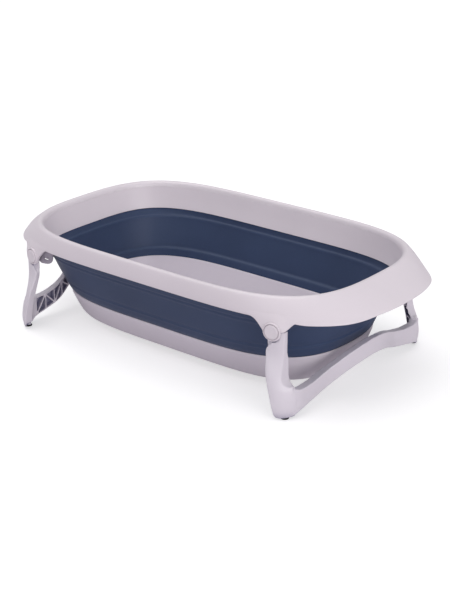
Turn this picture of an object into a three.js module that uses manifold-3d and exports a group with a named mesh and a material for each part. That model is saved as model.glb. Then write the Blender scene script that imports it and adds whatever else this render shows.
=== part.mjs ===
// Foldable baby bathtub, millimetres, +Z up, X along the tub, front towards -Y, feet on z = 0.
// Rest pose: unfolded. A hard rim, hard inner skirt, soft creased wall and hard base tray make
// the bowl; two bail-shaped leg frames swing on pins held in brackets under the rim.
import * as THREE from "three";
import { mergeVertices } from "three/addons/utils/BufferGeometryUtils.js";
import Module from "manifold-3d";

const wasm = await Module();
wasm.setup();

// ---------------------------------------------------------------- driving dimensions
const BOWL_SEGMENTS = 48; // points round every bowl outline
const RIM = { top: 207, edgeZ: 171, halfLength: 411, halfWidth: 219, lip: 2.6 };
const SKIRT = { bottomZ: 152.8, halfLength: 329.5, halfWidth: 195.5, wall: 2.5 };
const WALL = { thickness: 2.5, upperCreaseZ: 136.5, lowerCreaseZ: 77, endGap: 0.15 };
const TRAY = { lipZ: 72.5, seatZ: 63.5, underZ: 12, floorZ: 15 };
const DRAIN = { x: -222, r: 14, headR: 21, segments: 20 };
const PIVOT = { x: 284.5, z: 150, r: 4, holeR: 4.1, segments: 16 };
// Distances from the tub's long centre plane at each hinge, from the tub outwards
const LAYER = {
  cheekIn: 195.6,
  cheekOut: 198.6,
  armIn: 198.9,
  tongueOut: 202.3,
  plateIn: 202.5,
  bossOut: 207.2,
};
// Radii about the pivot: bracket boss, leg edge clearing the boss, leg tongue behind it, cap
const HINGE_R = { boss: 15.5, scallop: 17.3, tongue: 12.4, cap: 12.5 };
const SCREWS = [
  { name: "inner", x: 252, z: 175 },
  { name: "outer", x: 291.5, z: 165.4 },
];
const SCREW = { shankR: 1.5, holeR: 1.62, headR: 3.4, length: 8.2, segments: 8 };
const PIN_HEAD_R = 6.4;
const HEAD = { seat: 0.1, top: 2 }; // pin and screw heads, measured inwards from the cheek
const FOOT = { x: 311, y: 202, r: 7.2, height: 2.9, plugR: 3.4, plugTop: 8.5, segments: 16 };
// Parts are modelled at the front right and mirrored by these signs
const CORNERS = [
  { corner: "front_right", signX: 1, signY: 1 },
  { corner: "back_right", signX: 1, signY: -1 },
  { corner: "front_left", signX: -1, signY: 1 },
  { corner: "back_left", signX: -1, signY: -1 },
];

// ---------------------------------------------------------------- materials
const WHITE = new THREE.MeshStandardMaterial({ color: 0xded6da, roughness: 0.38 });
const TRAY_WHITE = new THREE.MeshStandardMaterial({ color: 0xd0cace, roughness: 0.42 });
const SOFT = new THREE.MeshStandardMaterial({ color: 0x2c3a55, roughness: 0.55 });
const RUBBER = new THREE.MeshStandardMaterial({ color: 0x17171a, roughness: 0.8 });
const GREY = new THREE.MeshStandardMaterial({ color: 0x9a989e, roughness: 0.45 });
const STEEL = new THREE.MeshStandardMaterial({ color: 0xb4b6ba, roughness: 0.3, metalness: 1 });

// ---------------------------------------------------------------- solids and meshes
function flipFaces(triangles) {
  for (let i = 0; i < triangles.length; i += 3)
    [triangles[i + 1], triangles[i + 2]] = [triangles[i + 2], triangles[i + 1]];
}

const fromArrays = (positions, triangles) =>
  new wasm.Manifold(
    new wasm.Mesh({ numProp: 3, vertProperties: positions, triVerts: triangles }),
  );

// Welds a closed geometry into a solid, turned so that its faces point outwards.
function solid(geometry) {
  const bare = geometry.clone();
  bare.deleteAttribute("normal");
  bare.deleteAttribute("uv");
  const welded = mergeVertices(bare, 1e-4);
  const kept = [];
  for (let i = 0; i < welded.index.count; i += 3) {
    const [a, b, c] = welded.index.array.slice(i, i + 3);
    if (a !== b && b !== c && c !== a) kept.push(a, b, c);
  }
  const positions = new Float32Array(welded.attributes.position.array);
  const triangles = new Uint32Array(kept);
  const body = fromArrays(positions, triangles);
  if (body.volume() >= 0) return body;
  flipFaces(triangles);
  return fromArrays(positions, triangles);
}

function indexedSolid(positions, index) {
  const geometry = new THREE.BufferGeometry();
  geometry.setAttribute("position", new THREE.Float32BufferAttribute(positions, 3));
  geometry.setIndex(index);
  return solid(geometry);
}

function mirrored(body, signX, signY) {
  const mesh = body.getMesh();
  const signs = [signX, signY, 1];
  const positions = mesh.vertProperties.map((value, i) => value * signs[i % 3]);
  const triangles = new Uint32Array(mesh.triVerts);
  if (signX * signY < 0) flipFaces(triangles);
  return fromArrays(positions, triangles);
}

function toMesh(name, body, material) {
  const { vertProperties, triVerts } = body.getMesh();
  const geometry = new THREE.BufferGeometry();
  const positions = new Float32Array(vertProperties);
  geometry.setAttribute("position", new THREE.BufferAttribute(positions, 3));
  geometry.setIndex(new THREE.BufferAttribute(new Uint32Array(triVerts), 1));
  geometry.computeVertexNormals();
  const mesh = new THREE.Mesh(geometry, material);
  mesh.name = name;
  return mesh;
}

// ---------------------------------------------------------------- flat profiles
const toVectors = (points) => points.map(([u, v]) => new THREE.Vector2(u, v));

const rectangle = (u0, v0, u1, v1) => [[u0, v0], [u1, v0], [u1, v1], [u0, v1]];

// Points on an arc, angles in degrees
const arc = (centreU, centreV, r, from, to, steps) =>
  Array.from({ length: steps + 1 }, (_, i) => {
    const angle = ((from + ((to - from) * i) / steps) * Math.PI) / 180;
    return [centreU + r * Math.cos(angle), centreV + r * Math.sin(angle)];
  });
const circle = (u, v, r, segments) => arc(u, v, r, 0, 360 - 360 / segments, segments - 1);

function traced(path, points) {
  path.setFromPoints(toVectors(points));
  path.closePath();
  return path;
}

function extruded(points, depth, holes = []) {
  const shape = traced(new THREE.Shape(), points);
  shape.holes = holes.map((hole) => traced(new THREE.Path(), hole));
  return new THREE.ExtrudeGeometry(shape, { depth, bevelEnabled: false, steps: 1 });
}
// profile in (x, z), running from y0 to y1
const alongY = (points, y0, y1, holes) =>
  solid(
    extruded(points, y1 - y0, holes)
      .rotateX(Math.PI / 2)
      .translate(0, y1, 0),
  );
// profile in (y, z), running from x0 to x1
const alongX = (points, x0, x1) =>
  solid(
    extruded(points, x1 - x0).applyMatrix4(
      new THREE.Matrix4().set(0, 0, 1, x0, 1, 0, 0, 0, 0, 1, 0, 0, 0, 0, 0, 1),
    ),
  );
// profile in (x, y), running from z0 to z1
const alongZ = (points, z0, z1) => solid(extruded(points, z1 - z0).translate(0, 0, z0));

const rodY = (x, z, r, y0, y1, segments) =>
  solid(new THREE.CylinderGeometry(r, r, y1 - y0, segments).translate(x, (y0 + y1) / 2, z));

const turned = (profile, segments) =>
  new THREE.LatheGeometry(toVectors([...profile, profile[0]]), segments);
// profile in (radius, z), turned about the upright line through (x, y)
const upright = (profile, x, y, segments) =>
  solid(turned(profile, segments).rotateX(Math.PI / 2).translate(x, y, 0));

// ---------------------------------------------------------------- skins through outlines
// Triangles between successive outlines of `size` points; `ring` joins the last to the first.
function bandFaces(rowCount, size, ring) {
  const index = [];
  const bands = ring ? rowCount : rowCount - 1;
  for (let band = 0; band < bands; band++) {
    const low = band * size;
    const high = ((band + 1) % rowCount) * size;
    for (let i = 0; i < size; i++) {
      const j = (i + 1) % size;
      index.push(low + i, low + j, high + j, low + i, high + j, high + i);
    }
  }
  return index;
}

// One quarter of |x/halfLength|^endPower + |y/halfWidth|^sidePower = 1, its points spaced by a
// blend of length and turning so that the tight corners get more of them.
function quarterOutline(halfLength, halfWidth, endPower, sidePower, count) {
  const LENGTH_SHARE = 0.55;
  const TURN_SHARE = 0.45;
  const steps = 600;
  const fine = [];
  for (let i = 0; i <= steps; i++) {
    const phi = ((Math.PI / 2) * (1 - Math.cos((Math.PI * i) / steps))) / 2;
    fine.push([
      halfLength * Math.pow(Math.max(Math.cos(phi), 0), 2 / endPower),
      halfWidth * Math.pow(Math.sin(phi), 2 / sidePower),
    ]);
  }
  fine[steps][0] = 0;
  const length = [0];
  const turn = [0];
  for (let i = 1; i <= steps; i++) {
    const stepX = fine[i][0] - fine[i - 1][0];
    const stepY = fine[i][1] - fine[i - 1][1];
    length.push(length[i - 1] + Math.hypot(stepX, stepY));
    turn.push(Math.max(turn[i - 1], Math.atan2(-stepX, stepY)));
  }
  const weight = length.map(
    (s, i) => (LENGTH_SHARE * s) / length[steps] + (TURN_SHARE * turn[i]) / turn[steps],
  );
  const points = [];
  for (let k = 0; k < count; k++) {
    const want = k / count;
    let i = 1;
    while (weight[i] < want) i++;
    const t = (want - weight[i - 1]) / (weight[i] - weight[i - 1] || 1);
    const [before, after] = [fine[i - 1], fine[i]];
    points.push([
      before[0] + t * (after[0] - before[0]),
      before[1] + t * (after[1] - before[1]),
    ]);
  }
  return points;
}

function bowlOutline([halfLength, halfWidth, endPower, sidePower, z]) {
  const count = BOWL_SEGMENTS / 4;
  const first = quarterOutline(halfLength, halfWidth, endPower, sidePower, count);
  const second = [...first.slice(1), [0, halfWidth]].reverse().map(([x, y]) => [-x, y]);
  const half = [...first, ...second];
  return [...half, ...half.map(([x, y]) => [-x, -y])].map(([x, y]) => [x, y, z]);
}

// A bowl body through the given levels: closed round as a ring, or capped at both ends.
function bowlSkin(levels, ring) {
  const size = BOWL_SEGMENTS;
  const positions = levels.map(bowlOutline).flat(2);
  const index = bandFaces(levels.length, size, ring);
  if (!ring) {
    const startCentre = levels.length * size;
    const endCentre = startCentre + 1;
    const endRow = (levels.length - 1) * size;
    positions.push(0, 0, levels[0][4], 0, 0, levels.at(-1)[4]);
    for (let i = 0; i < size; i++) {
      const j = (i + 1) % size;
      index.push(startCentre, j, i, endCentre, endRow + i, endRow + j);
    }
  }
  return indexedSolid(positions, index);
}

// A ring from its inner levels; two more columns give the thickness and how much lower
// the outer level lies.
function bowlShell(inner) {
  const outer = inner.map(
    ([halfLength, halfWidth, endPower, sidePower, z, thickness, drop = 0]) =>
      [halfLength + thickness, halfWidth + thickness, endPower, sidePower, z - drop],
  );
  return bowlSkin([...inner, ...outer.reverse()], true);
}

// A solid whose plan outline changes from level to level; plan y is a distance to the front.
function loft(levels) {
  const size = levels[0].plan.length;
  const positions = levels.flatMap(({ z, plan }) => plan.flatMap(([x, y]) => [x, -y, z]));
  const index = bandFaces(levels.length, size, false);
  for (const [row, up] of [[0, false], [levels.length - 1, true]]) {
    const start = row * size;
    const plan = toVectors(levels[row].plan.map(([x, y]) => [x, -y]));
    for (const [a, b, c] of THREE.ShapeUtils.triangulateShape(plan, []))
      index.push(start + a, start + (up ? b : c), start + (up ? c : b));
  }
  return indexedSolid(positions, index);
}

// ---------------------------------------------------------------- bowl
// columns of every bowl table: half length, half width, end exponent, side exponent, z
const RIM_LEVELS = [
  [346.2, 210.9, 4.3, 3.0, 200.5],
  [346.2, 210.9, 4.3, 3.0, 204.9],
  [349.4, 213.8, 4.3, 3.0, RIM.top],
  [354.6, 218.0, 4.3, 2.96, 206.0],
  [357.6, 219.6, 4.3, 2.94, 202.8],
  [388, 220.2, 4.47, 2.6, 186.6],
  [RIM.halfLength, RIM.halfWidth, 4.6, 2.4, RIM.edgeZ],
  [RIM.halfLength - RIM.lip, RIM.halfWidth - RIM.lip, 4.6, 2.4, RIM.edgeZ],
  [386, 217.2, 4.47, 2.6, 183.8],
  [354.6, 216.4, 4.3, 2.94, 200.5],
];
// then thickness
const SKIRT_LEVELS = [
  [343.5, 208.2, 4.3, 3.0, 205.2, 2.4],
  [336.8, 202.6, 4.45, 3.3, 176, SKIRT.wall],
  [SKIRT.halfLength, SKIRT.halfWidth, 4.6, 3.6, SKIRT.bottomZ, SKIRT.wall],
];
// then thickness is added to all, and at the two creases the outer drop
const WALL_LEVELS = [
  [SKIRT.halfLength, SKIRT.halfWidth, 4.6, 3.6, SKIRT.bottomZ - WALL.endGap, WALL.thickness],
  [326.2, 194.4, 5.0, 3.7, 141.5, WALL.thickness],
  [323, 192.6, 5.3, 3.8, WALL.upperCreaseZ, WALL.thickness, 1.6],
  [309, 173.2, 4.6, 3.9, 80.5, WALL.thickness],
  [307, 170.2, 4.6, 3.9, WALL.lowerCreaseZ, WALL.thickness, 1.2],
  [303.4, 163.6, 4.6, 3.6, 71.6, WALL.thickness],
  [301.6, 161.8, 4.6, 3.4, TRAY.seatZ + WALL.endGap, WALL.thickness],
];
// from the underside, up over the lip and down to the floor
const TRAY_LEVELS = [
  [262, 118, 4.4, 3.0, TRAY.underZ],
  [278, 133, 4.6, 3.1, 14],
  [288.6, 144, 4.6, 3.2, 26],
  [309.4, 168.4, 4.6, 3.4, 64],
  [310.4, 170, 4.6, 3.5, TRAY.lipZ],
  [308.2, 168.2, 4.6, 3.55, TRAY.lipZ],
  [304.9, 165.4, 4.6, 3.4, TRAY.seatZ],
  [301.4, 161.6, 4.6, 3.4, TRAY.seatZ],
  [285.6, 141, 4.6, 3.2, 28.3],
  [274, 129, 4.5, 3.0, 16.8],
  [258, 114, 4.3, 2.9, TRAY.floorZ],
];

const aroundDrain = (profile) => upright(profile, DRAIN.x, 0, DRAIN.segments);

// The tray with a round boss under its floor and the drain hole through both.
function baseTray() {
  const boss = aroundDrain(rectangle(0, 9.5, 18, 14));
  const hole = aroundDrain(rectangle(0, 5, DRAIN.r + 0.3, 20));
  return bowlSkin(TRAY_LEVELS, false).add(boss).subtract(hole);
}

const drainSeal = () =>
  aroundDrain(rectangle(DRAIN.r + 0.6, TRAY.floorZ + 0.1, 19.8, TRAY.floorZ + 1.6));

const drainStopper = () =>
  aroundDrain([
    [0, 8.5],
    [12, 8.5],
    [13.8, TRAY.floorZ + 1.7],
    [20.4, TRAY.floorZ + 1.7],
    [DRAIN.headR, TRAY.floorZ + 3.2],
    [9, TRAY.floorZ + 5],
    [5.6, TRAY.floorZ + 8.5],
    [7.2, TRAY.floorZ + 11.4],
    [0, TRAY.floorZ + 13.4],
  ]);

// ---------------------------------------------------------------- rim with brackets
const BRACKET = { x0: 222, x1: 310, bottomZ: 128, topZ: 190, inY: LAYER.armIn - 0.1 };
// outer face in plan: x, distance to the front
const BRACKET_OUTER = [
  [BRACKET.x0, 212.8], [240, 210.8], [255, 208.6], [270, 207],
  [284, 206], [295, 203.5], [303, 199], [BRACKET.x1, 193.5],
];
// side outline, x and z, running under the pivot boss
const BRACKET_SIDE = [
  [224, BRACKET.topZ], [228, 179], [234, 176], [245, 171],
  [255, 164.8], [260.6, 158.8], [265, 153.6],
  ...arc(PIVOT.x, PIVOT.z, HINGE_R.boss, 174, 366, 12),
  [300.2, 158], [300.5, 168], [302, 174], [309, 179], [309, BRACKET.topZ],
];
// end outline, y and z, sloped on top to stay under the rim
const BRACKET_END = [
  [-BRACKET.inY, 120], [-216, 120], [-216, 170], [-207, 171.4],
  [-203, 174.5], [-199.6, 181], [-BRACKET.inY, 184],
];
// the thick upper part, x and z, notched from below round the outer screw
const BRACKET_HEAD = [
  [220, 168.6], [286, 168.6], [286.8, 162.9], [296.4, 162.9],
  [297.2, 168.6], [312, 168.6], [312, BRACKET.topZ], [220, BRACKET.topZ],
];

function bracket() {
  const block = alongZ(
    [...BRACKET_OUTER.map(([x, y]) => [x, -y]), [BRACKET.x1, -170], [BRACKET.x0, -170]],
    BRACKET.bottomZ,
    BRACKET.topZ,
  );
  const outside = (innerY) =>
    block.intersect(alongZ(rectangle(220, -230, 312, -innerY), 120, 200));
  return outside(LAYER.plateIn)
    .add(outside(BRACKET.inY).intersect(alongY(BRACKET_HEAD, -220, -190)))
    .intersect(alongY(BRACKET_SIDE, -216, -190))
    .intersect(alongX(BRACKET_END, 220, 312))
    .add(rodY(PIVOT.x, PIVOT.z, HINGE_R.boss, -LAYER.bossOut, -LAYER.plateIn, 24))
    .subtract(rodY(PIVOT.x, PIVOT.z, PIVOT.holeR, -220, -190, PIVOT.segments));
}

function rimCover() {
  let rim = bowlSkin(RIM_LEVELS, true);
  const oneBracket = bracket();
  for (const { signX, signY } of CORNERS) rim = rim.add(mirrored(oneBracket, signX, signY));
  const holeEnd = -LAYER.cheekIn - SCREW.length - 0.3;
  for (const { x, z } of SCREWS) {
    const hole = rodY(x, z, SCREW.holeR, holeEnd, -190, SCREW.segments);
    for (const { signX, signY } of CORNERS) rim = rim.subtract(mirrored(hole, signX, signY));
  }
  return rim;
}

// ---------------------------------------------------------------- hinge cheek, pin, cap, screws
// x and z
const CHEEK_SIDE = [
  [241, 182.5], [237.5, 168], [238.5, 151], [245, 142.5], [254, 140], [268, 138.8],
  ...arc(PIVOT.x, PIVOT.z, HINGE_R.tongue, 214, 356, 8),
  [296.5, 158], [296.5, 170.6], [272, 170.6], [266, 182.5],
];
// the cut round the snap tongue that holds the leg open, x and z
const SNAP_CUT = [
  [249, 148], [261, 148], [261, 155], [259, 155],
  [259, 150.6], [251, 150.6], [251, 155], [249, 155],
];

const hingeCheek = () =>
  alongY(CHEEK_SIDE, -LAYER.cheekOut, -LAYER.cheekIn, [
    circle(PIVOT.x, PIVOT.z, PIVOT.holeR, PIVOT.segments),
    ...SCREWS.map(({ x, z }) => circle(x, z, SCREW.holeR, SCREW.segments)),
    SNAP_CUT,
  ]);

// A shank through the cheek with its head on the cheek's tub side.
function headedRod({ x, z, shankR, tipY, headR, shankSegments, headSegments }) {
  const seatY = -LAYER.cheekIn + HEAD.seat;
  const head = rodY(x, z, headR, seatY, -LAYER.cheekIn + HEAD.top, headSegments);
  return rodY(x, z, shankR, tipY, seatY, shankSegments).add(head);
}

const pivotPin = () =>
  headedRod({
    x: PIVOT.x,
    z: PIVOT.z,
    shankR: PIVOT.r,
    tipY: -LAYER.bossOut + 0.5,
    headR: PIN_HEAD_R,
    shankSegments: PIVOT.segments,
    headSegments: PIVOT.segments,
  });

const cheekScrew = ({ x, z }) =>
  headedRod({
    x,
    z,
    shankR: SCREW.shankR,
    tipY: -LAYER.cheekIn - SCREW.length,
    headR: SCREW.headR,
    shankSegments: SCREW.segments,
    headSegments: 10,
  });

function pivotCap() {
  // radius, distance outwards from the boss
  const profile = [
    [0, 0.1],
    [HINGE_R.cap, 0.1],
    [HINGE_R.cap, 1.7],
    [HINGE_R.cap - 1.2, 2.5],
    [0, 2.8],
  ];
  const geometry = turned(profile, 24).rotateX(Math.PI);
  return solid(geometry.translate(PIVOT.x, -LAYER.bossOut, PIVOT.z));
}

// ---------------------------------------------------------------- leg frame (right)
const ARM_WALL = 2.6; // outer wall left behind the arm pockets
const BAR_WALL = 2.8; // outer wall and edges left round the bar pockets
const TONGUE_FROM_Z = 118; // above this the arm is split into two layers
const ARM_TOP = {
  outer: [
    [240, 209], [262, 207.8], [274, 206.8], [284, 206],
    [295, 203.5], [303, 199], [309, 193], [313, 186],
  ],
  inner: [
    ...[240, 262, 274, 284, 297].map((x) => [x, LAYER.armIn]),
    [301, 195.4], [303.5, 190], [305.5, 184],
  ],
};
// arm faces in plan (x, distance to the front); they flare and round the corner lower down
const ARM_LEVELS = [
  {
    z: 0,
    outer: [
      [240, 219.5], [270, 219.5], [285, 219.5], [294, 219],
      [304.5, 215.5], [313, 209.5], [319.5, 201], [324, 191],
    ],
    inner: [
      [240, 206], [270, 206], [282, 205.5], [289, 203.5],
      [295, 200], [300.5, 195], [305, 189], [308, 182],
    ],
  },
  {
    z: 22,
    outer: [
      [240, 223], [270, 223], [285, 223], [295, 222.5],
      [306, 219], [315, 212.5], [322, 203], [326.5, 192],
    ],
    inner: [
      [240, 208], [270, 208], [283, 207.5], [291, 206],
      [298, 203], [304, 198], [308.5, 192], [312, 184],
    ],
  },
  {
    z: 48,
    outer: [
      [240, 222], [270, 222], [285, 222], [293.5, 221.3],
      [302, 218.5], [311, 211.8], [318.5, 203], [325.5, 191],
    ],
    inner: [
      [240, 207.5], [270, 207.5], [282, 207], [289, 205.5],
      [295.5, 202.5], [301.5, 197.5], [306.5, 191.5], [310.5, 183.5],
    ],
  },
  {
    z: 75,
    outer: [
      [240, 219.5], [270, 219.5], [285, 219.5], [292, 217.5],
      [300, 212], [306, 205], [310, 197], [313, 188],
    ],
    inner: [
      [240, 205.5], [270, 205.5], [280, 205], [286, 203.5],
      [292, 200.5], [297, 196], [300, 191], [302, 184],
    ],
  },
  { z: 120, ...ARM_TOP },
  { z: 170, ...ARM_TOP },
];
// arm side outline below the hinge, x and z
const ARM_EDGE = [
  [308.4, 168], [308.4, 150], [307, 120], [308, 82], [312, 64], [319, 56],
  [330, 52], [330, 7], [320, 3], [303, 3], [300, 8], [298, 20],
  [294, 38], [290, 54], [285.5, 70], [281.5, 86], [277.5, 103], [274.2, 120.5],
];
const armSide = (hinge) => [...ARM_EDGE, ...hinge, [302, 158], [302.3, 168]];
// outer layer, hollowed to clear the bracket boss
const ARM_OUTER_SIDE = armSide([
  [277, 124],
  [283, 131],
  ...arc(PIVOT.x, PIVOT.z, HINGE_R.scallop, 268, 362, 6),
]);
// inner layer, with the tongue round the pivot
const ARM_INNER_SIDE = armSide(arc(PIVOT.x, PIVOT.z, HINGE_R.tongue, 190, 20, 8));
// pockets with diagonal webs between them, open towards the tub, x and z
const ARM_POCKETS = [
  [[281, 112], [303.6, 112], [303.6, 99], [282.4, 88]],
  [[283.2, 85], [303.8, 95.6], [304.4, 76], [287.4, 71]],
  [[288, 68.4], [305, 73.4], [309, 62], [313.5, 55], [313.5, 52], [293.5, 50]],
  [[294.3, 47.2], [313.5, 49.2], [313.5, 30], [299.5, 27]],
  [[300, 24], [313.5, 27], [313.5, 14], [302, 14]],
];
// cross bar faces in plan: x, distance from the centre
const BAR_OUTER = [
  [324.2, 196], [326.5, 188], [328, 176], [328, 150], [328.5, 120],
  [331, 100], [335, 85], [342.5, 60], [349, 30], [351, 0],
];
const BAR_INNER = [
  [308, 193], [311.5, 185], [313, 176], [313, 150], [314.5, 120],
  [318.5, 100], [323, 85], [330.5, 60], [337, 30], [339, 0],
];
// cross bar edges: distance from the centre, z
const BAR_LOW = [
  [200, 5], [190, 8.5], [176, 12], [145, 18.5], [120, 24],
  [100, 30.5], [85, 36], [60, 46], [30, 54], [0, 57],
];
const BAR_HIGH = [
  [200, 55], [190, 48.5], [176, 45.5], [145, 50], [120, 55.5],
  [100, 61.5], [85, 67], [60, 77], [30, 85], [0, 88],
];
// triangular pockets of the bar, a pair in each cell; the half web sets all the gaps
const LATTICE = { cells: 12, length: 340, halfWeb: 1.3 };

// The curve moved sideways by `distance`; an end on the centre line moves straight in x.
function inset(curve, distance) {
  return curve.map(([x, y], i) => {
    if (i === curve.length - 1 && y === 0) return [x - distance, y];
    const before = curve[Math.max(i - 1, 0)];
    const after = curve[Math.min(i + 1, curve.length - 1)];
    const [alongX, alongY] = [after[0] - before[0], after[1] - before[1]];
    const length = Math.hypot(alongX, alongY);
    return [x + (alongY / length) * distance, y - (alongX / length) * distance];
  });
}

// A curve that ends on the centre line, continued to the other side.
const flipPlan = ([x, y]) => [x, -y];
const flipFace = ([y, z]) => [-y, z];
const acrossCentre = (curve, flip) => [...curve.map(flip), ...curve.slice(0, -1).reverse()];
const bandBetween = (first, second, flip) => [
  ...acrossCentre(first, flip),
  ...acrossCentre(second, flip).reverse(),
];

function arm() {
  const block = loft(
    ARM_LEVELS.map(({ z, outer, inner }) => ({ z, plan: [...outer, ...inner.toReversed()] })),
  );
  const layer = (side, y0, y1) =>
    block
      .intersect(alongY(side, y0, y1))
      .intersect(alongY(rectangle(230, TONGUE_FROM_Z, 330, 172), y0, y1));
  return block
    .intersect(alongY(ARM_INNER_SIDE, -230, -150))
    .intersect(alongZ(rectangle(230, -240, 335, -150), -1, TONGUE_FROM_Z))
    .add(layer(ARM_OUTER_SIDE, -230, -LAYER.tongueOut))
    .add(layer(ARM_INNER_SIDE, -LAYER.tongueOut, -150));
}

function armPocketCuts() {
  const withinWall = loft(
    ARM_LEVELS.map(({ z, outer }) => ({
      z,
      plan: [...inset(outer, ARM_WALL), [313, 120], [236, 120]],
    })),
  );
  return ARM_POCKETS.map((pocket) => alongY(pocket, -230, -150).intersect(withinWall));
}

const crossBar = () =>
  alongZ(bandBetween(BAR_OUTER, BAR_INNER, flipPlan), 0, 120).intersect(
    alongX(bandBetween(BAR_LOW, BAR_HIGH, flipFace), 286, 360),
  );

function edgeHeight(edge, y) {
  const points = edge.toReversed();
  const distance = Math.abs(y);
  const i = Math.max(1, points.findIndex(([station]) => station >= distance));
  const [before, after] = [points[i - 1], points[i]];
  const t = (distance - before[0]) / (after[0] - before[0]);
  return before[1] + t * (after[1] - before[1]);
}

function barPocketCuts() {
  const withinWall = alongZ(
    [...acrossCentre(inset(BAR_OUTER, BAR_WALL), flipPlan), [286, 200], [286, -200]],
    0,
    120,
  );
  const low = (y) => edgeHeight(BAR_LOW, y) + BAR_WALL;
  const high = (y) => edgeHeight(BAR_HIGH, y) - BAR_WALL;
  const pitch = LATTICE.length / LATTICE.cells;
  const side = LATTICE.halfWeb;
  const tip = 2.6 * side; // gap along y at the end of a diagonal
  const lift = 1.4 * side; // gap in height at the end of a diagonal
  const cuts = [];
  for (let k = 0; k < LATTICE.cells; k++) {
    const y0 = -LATTICE.length / 2 + k * pitch;
    const y1 = y0 + pitch;
    // the diagonal web rises towards +Y in even cells and falls in odd ones
    const triangles =
      k % 2 === 0
        ? [
            [[y0 + side, low(y0) + lift], [y1 - tip, high(y1)], [y0 + side, high(y0)]],
            [[y0 + tip, low(y0)], [y1 - side, low(y1)], [y1 - side, high(y1) - lift]],
          ]
        : [
            [[y0 + tip, high(y0)], [y1 - side, low(y1) + lift], [y1 - side, high(y1)]],
            [[y0 + side, low(y0)], [y1 - tip, low(y1)], [y0 + side, high(y0) - lift]],
          ];
    for (const triangle of triangles)
      cuts.push(alongX(triangle, 280, 360).intersect(withinWall));
  }
  return cuts;
}

function legFrame() {
  const frontArm = arm();
  let leg = crossBar().add(frontArm).add(mirrored(frontArm, 1, -1));
  for (const cut of armPocketCuts()) leg = leg.subtract(cut).subtract(mirrored(cut, 1, -1));
  for (const cut of barPocketCuts()) leg = leg.subtract(cut);
  leg = leg.subtract(rodY(PIVOT.x, PIVOT.z, PIVOT.holeR, -230, 230, PIVOT.segments));
  // sockets for the foot plugs
  const socketTop = FOOT.plugTop + 0.3;
  const socket = rectangle(0, socketTop - 20, FOOT.plugR + 0.15, socketTop);
  for (const signY of [1, -1])
    leg = leg.subtract(upright(socket, FOOT.x, signY * FOOT.y, FOOT.segments));
  return leg;
}

function footPad() {
  const profile = [
    [0, 0],
    [FOOT.r, 0],
    [FOOT.r + 0.3, 0.8],
    [FOOT.r - 0.9, FOOT.height],
    [FOOT.plugR, FOOT.height],
    [FOOT.plugR, FOOT.plugTop],
    [0, FOOT.plugTop],
  ];
  return upright(profile, FOOT.x, -FOOT.y, FOOT.segments);
}

// ---------------------------------------------------------------- assembly
const group = new THREE.Group();
group.name = "baby_bathtub";
const put = (name, body, material) => group.add(toMesh(name, body, material));

put("rim_cover", rimCover(), WHITE);
put("inner_skirt", bowlShell(SKIRT_LEVELS), WHITE);
put("collapsible_wall", bowlShell(WALL_LEVELS), SOFT);
put("base_tray", baseTray(), TRAY_WHITE);
put("drain_seal", drainSeal(), GREY);
put("drain_stopper", drainStopper(), GREY);

const rightLeg = legFrame();
put("leg_frame_right", rightLeg, WHITE);
put("leg_frame_left", mirrored(rightLeg, -1, 1), WHITE);

const cornerParts = [
  ["hinge_cheek", hingeCheek(), GREY],
  ["pivot_pin", pivotPin(), STEEL],
  ["pivot_cap", pivotCap(), WHITE],
  ...SCREWS.map((screw) => [`cheek_screw_${screw.name}`, cheekScrew(screw), STEEL]),
  ["foot_pad", footPad(), RUBBER],
];
for (const { corner, signX, signY } of CORNERS)
  for (const [name, body, material] of cornerParts)
    put(`${name}_${corner}`, mirrored(body, signX, signY), material);

export default group;
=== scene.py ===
"""A collapsible oval basin on two folding leg frames.

It stands on z = 0 with its long side along X; front is -Y and right is +X. Lengths are in
millimetres unless noted, and turn into metres where meshes are made. A rigid rim and a base
tray are joined by a soft wall. At each corner a bracket under the rim holds a leg pivot.
The corner parts are modelled once, at the front right, and mirrored.
"""
import math

import bmesh
import bpy
import numpy as np
from mathutils import Matrix, Vector


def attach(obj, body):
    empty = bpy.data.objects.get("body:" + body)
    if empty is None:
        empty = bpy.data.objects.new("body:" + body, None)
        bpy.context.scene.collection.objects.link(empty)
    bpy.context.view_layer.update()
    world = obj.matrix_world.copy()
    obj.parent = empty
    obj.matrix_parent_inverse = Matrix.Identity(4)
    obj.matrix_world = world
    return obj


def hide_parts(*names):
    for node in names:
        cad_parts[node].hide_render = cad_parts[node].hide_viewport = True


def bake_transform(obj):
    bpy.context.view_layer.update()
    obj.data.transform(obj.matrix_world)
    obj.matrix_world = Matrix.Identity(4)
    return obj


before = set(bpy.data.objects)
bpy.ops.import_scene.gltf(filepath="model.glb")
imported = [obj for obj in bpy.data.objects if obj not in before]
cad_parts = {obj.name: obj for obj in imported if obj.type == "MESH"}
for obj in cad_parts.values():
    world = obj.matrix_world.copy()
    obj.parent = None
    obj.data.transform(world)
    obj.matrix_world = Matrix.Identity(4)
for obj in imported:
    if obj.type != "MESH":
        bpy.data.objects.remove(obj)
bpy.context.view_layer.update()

scene = bpy.context.scene
MM = 0.001  # metres
RING = 192  # points round the bowl
PIVOT_X, PIVOT_Z = 284.5, 150.0  # leg pivot axis, along Y
FOOT_CENTRE = (311, -202, 0)
DRAIN_CENTRE = (-222.0, 0, 0)
CHEEK_FACE = 195.7  # distance from y = 0 at which pin and screw heads sit
# name, x and y scale that take a front right part to the corner
CORNERS = (("front_right", 1, 1), ("back_right", 1, -1), ("front_left", -1, 1), ("back_left", -1, -1))


# ------------------------------------------------------------------ mesh helpers
def add_object(name, data):
    obj = bpy.data.objects.new(name, data)
    scene.collection.objects.link(obj)
    return obj


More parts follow.
